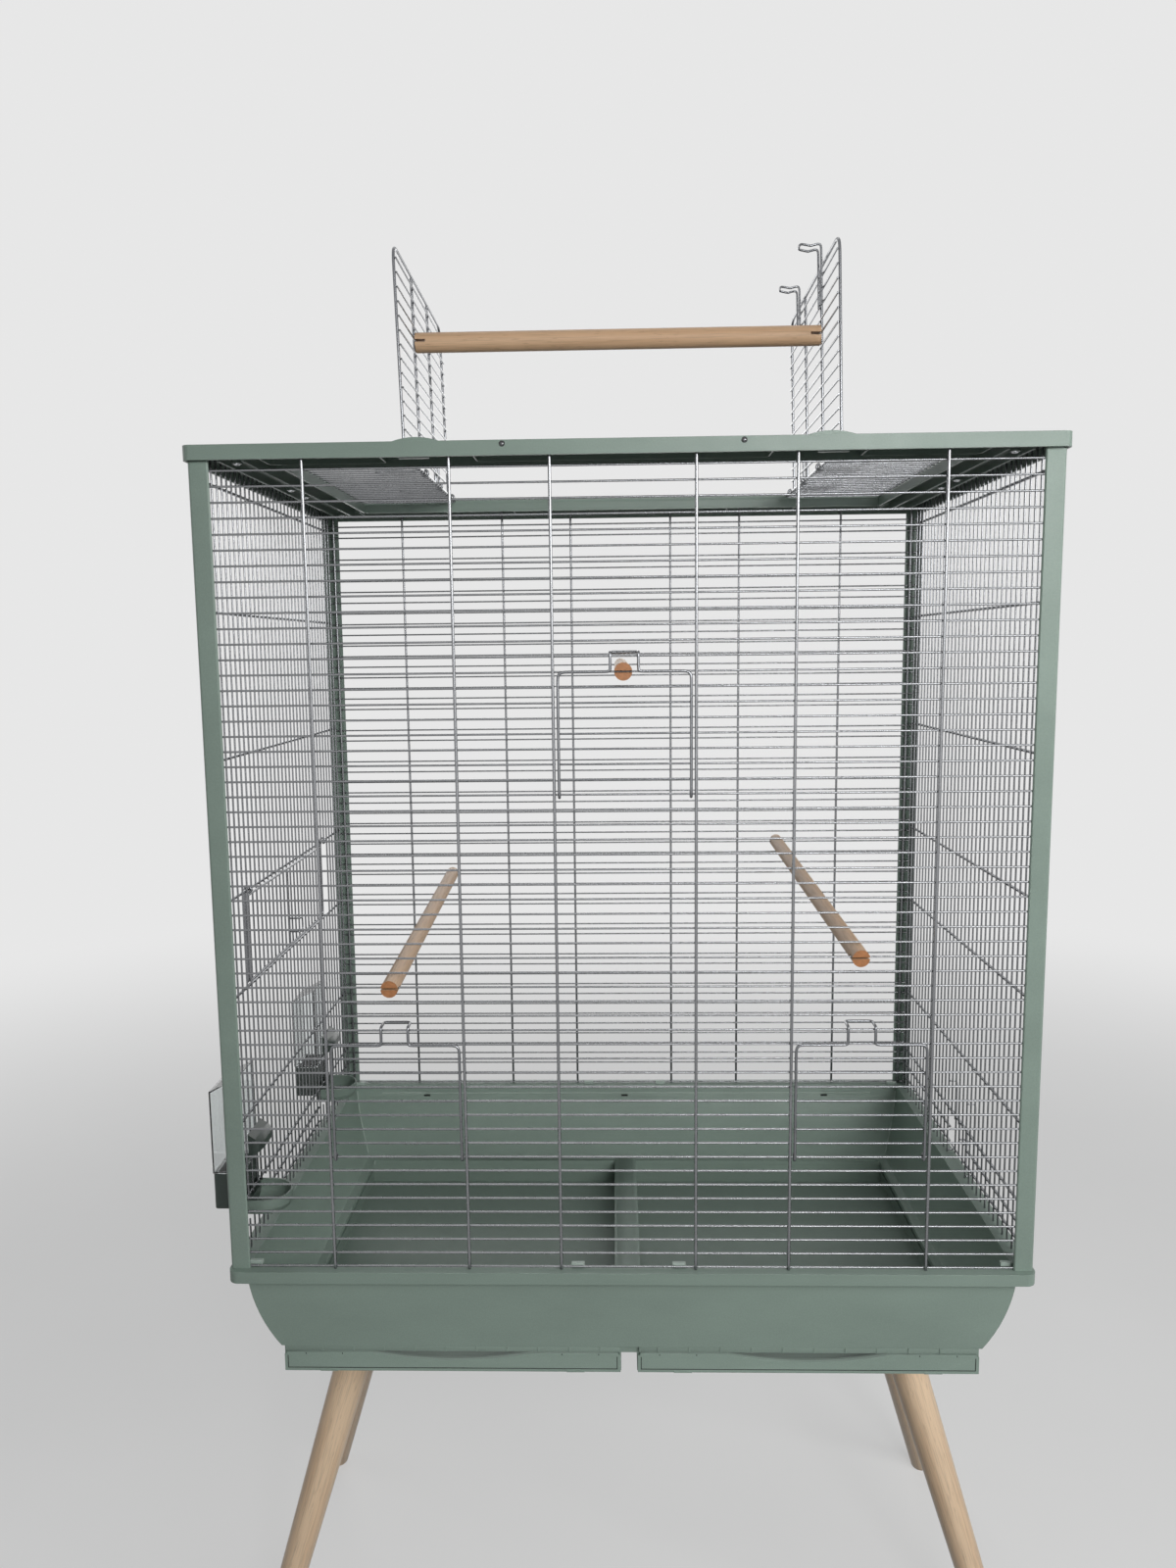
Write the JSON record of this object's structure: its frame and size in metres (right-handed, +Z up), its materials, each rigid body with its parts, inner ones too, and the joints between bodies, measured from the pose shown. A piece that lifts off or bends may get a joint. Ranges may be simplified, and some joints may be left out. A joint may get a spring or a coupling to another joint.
{
  "type": "bird cage on stand",
  "caption": "Tall wire cage on a moulded base with slide-out trays, splayed round wooden legs, drop-down doors, an open roof door with a perch, and clip-on seed feeders.",
  "frame": {"origin": "on the floor, under the middle of the cage", "axes": "+Z up, +X to the right across the front, the front faces -Y"},
  "size_m": [0.8347, 0.482, 1.5172],
  "materials": {
    "green_base": "satin moulded, sage green",
    "green_drawer": "satin moulded, sage green",
    "green_posts": "satin moulded, sage green",
    "green_frame": "satin moulded, sage green",
    "green_sockets": "satin moulded, sage green",
    "green_clips": "satin moulded, light sage green",
    "green_feeder": "satin moulded, dark sage green",
    "zinc_wire": "zinc plated, satin",
    "zinc_door_wire": "zinc plated, satin",
    "zinc_fixings": "zinc plated, bright",
    "beech_legs": "beech, clear satin lacquer",
    "beech_perch": "beech, bare sanded",
    "clear_hopper": "clear styrene"
  },
  "bodies": {
    "cage": {"base_tub": "green_base", "corner_post_front_left": "green_posts", "leg_front_left": "beech_legs", "leg_socket_front_left": "green_sockets", "corner_post_front_right": "green_posts", "leg_front_right": "beech_legs", "leg_socket_front_right": "green_sockets", "corner_post_rear_left": "green_posts", "leg_rear_left": "beech_legs", "leg_socket_rear_left": "green_sockets", "corner_post_rear_right": "green_posts", "leg_rear_right": "beech_legs", "leg_socket_rear_right": "green_sockets", "leg_studs": "zinc_fixings", "top_frame": "green_frame", "rim_clips": "green_clips", "front_panel": "zinc_wire", "back_panel": "zinc_wire", "left_panel": "zinc_wire", "right_panel": "zinc_wire", "roof_panel": "zinc_wire", "perch_left": "beech_perch", "perch_right": "beech_perch", "perch_center": "beech_perch", "feeder_guards": "green_feeder"},
    "drawer_left": {"drawer_left": "green_drawer"},
    "drawer_right": {"drawer_right": "green_drawer"},
    "door_center": {"door_center": "zinc_door_wire"},
    "door_left": {"door_left": "zinc_door_wire"},
    "door_right": {"door_right": "zinc_door_wire"},
    "side_door": {"side_door": "zinc_door_wire"},
    "side_hatch": {"side_hatch": "zinc_door_wire"},
    "roof_flap_left": {"roof_flap_left": "zinc_door_wire"},
    "roof_flap_right": {"roof_flap_right": "zinc_door_wire"},
    "roof_perch": {"roof_perch": "beech_perch"},
    "feeder_front": {"feeder_front": "green_feeder"},
    "feeder_rear": {"feeder_rear": "green_feeder"},
    "hopper_front": {"hopper_front": "clear_hopper"},
    "hopper_rear": {"hopper_rear": "clear_hopper"}
  },
  "joints": [
    {"name": "drawer_left_slide", "type": "slide", "parent": "cage", "child": "drawer_left", "axis": [0, -1, 0], "range_m": [0, 0.33]},
    {"name": "drawer_right_slide", "type": "slide", "parent": "cage", "child": "drawer_right", "axis": [0, -1, 0], "range_m": [0, 0.33]},
    {"name": "door_center_hinge", "type": "hinge", "parent": "cage", "child": "door_center", "pos_m": [0, -0.231, 0.97553], "axis": [1, 0, 0], "range_deg": [0, 150]},
    {"name": "door_left_hinge", "type": "hinge", "parent": "cage", "child": "door_left", "pos_m": [-0.2239, -0.231, 0.61878], "axis": [1, 0, 0], "range_deg": [0, 150]},
    {"name": "door_right_hinge", "type": "hinge", "parent": "cage", "child": "door_right", "pos_m": [0.2239, -0.231, 0.61878], "axis": [1, 0, 0], "range_deg": [0, 150]},
    {"name": "side_door_hinge", "type": "hinge", "parent": "cage", "child": "side_door", "pos_m": [-0.3905, 0, 0.86752], "axis": [0, 1, 0], "range_deg": [0, 120]},
    {"name": "side_hatch_slide", "type": "slide", "parent": "cage", "child": "side_hatch", "axis": [0, 0, 1], "range_m": [0, 0.036]},
    {"name": "roof_flap_left_hinge", "type": "hinge", "parent": "cage", "child": "roof_flap_left", "pos_m": [-0.2105, 0, 1.2994], "axis": [0, 1, 0], "range_deg": [0, 3]},
    {"name": "roof_flap_right_hinge", "type": "hinge", "parent": "cage", "child": "roof_flap_right", "pos_m": [0.2105, 0, 1.2994], "axis": [0, 1, 0], "range_deg": [0, 3]},
    {"name": "roof_perch_hinge", "type": "hinge", "parent": "roof_flap_left", "child": "roof_perch", "pos_m": [-0.21513, -0.0469, 1.43335], "axis": [0, 1, 0], "range_deg": [-3, 0]},
    {"name": "feeder_front_slide", "type": "slide", "parent": "cage", "child": "feeder_front", "axis": [-1, 0, 0], "range_m": [0, 0.07]},
    {"name": "hopper_front_lift", "type": "slide", "parent": "feeder_front", "child": "hopper_front", "axis": [0, 0, 1], "range_m": [0, 0.045]},
    {"name": "feeder_rear_slide", "type": "slide", "parent": "cage", "child": "feeder_rear", "axis": [-1, 0, 0], "range_m": [0, 0.07]},
    {"name": "hopper_rear_lift", "type": "slide", "parent": "feeder_rear", "child": "hopper_rear", "axis": [0, 0, 1], "range_m": [0, 0.045]}
  ],
  "couplings": [
    {"joint": "roof_flap_right_hinge", "follows": "roof_flap_left_hinge", "ratio": 1},
    {"joint": "roof_perch_hinge", "follows": "roof_flap_left_hinge", "ratio": -1}
  ]
}
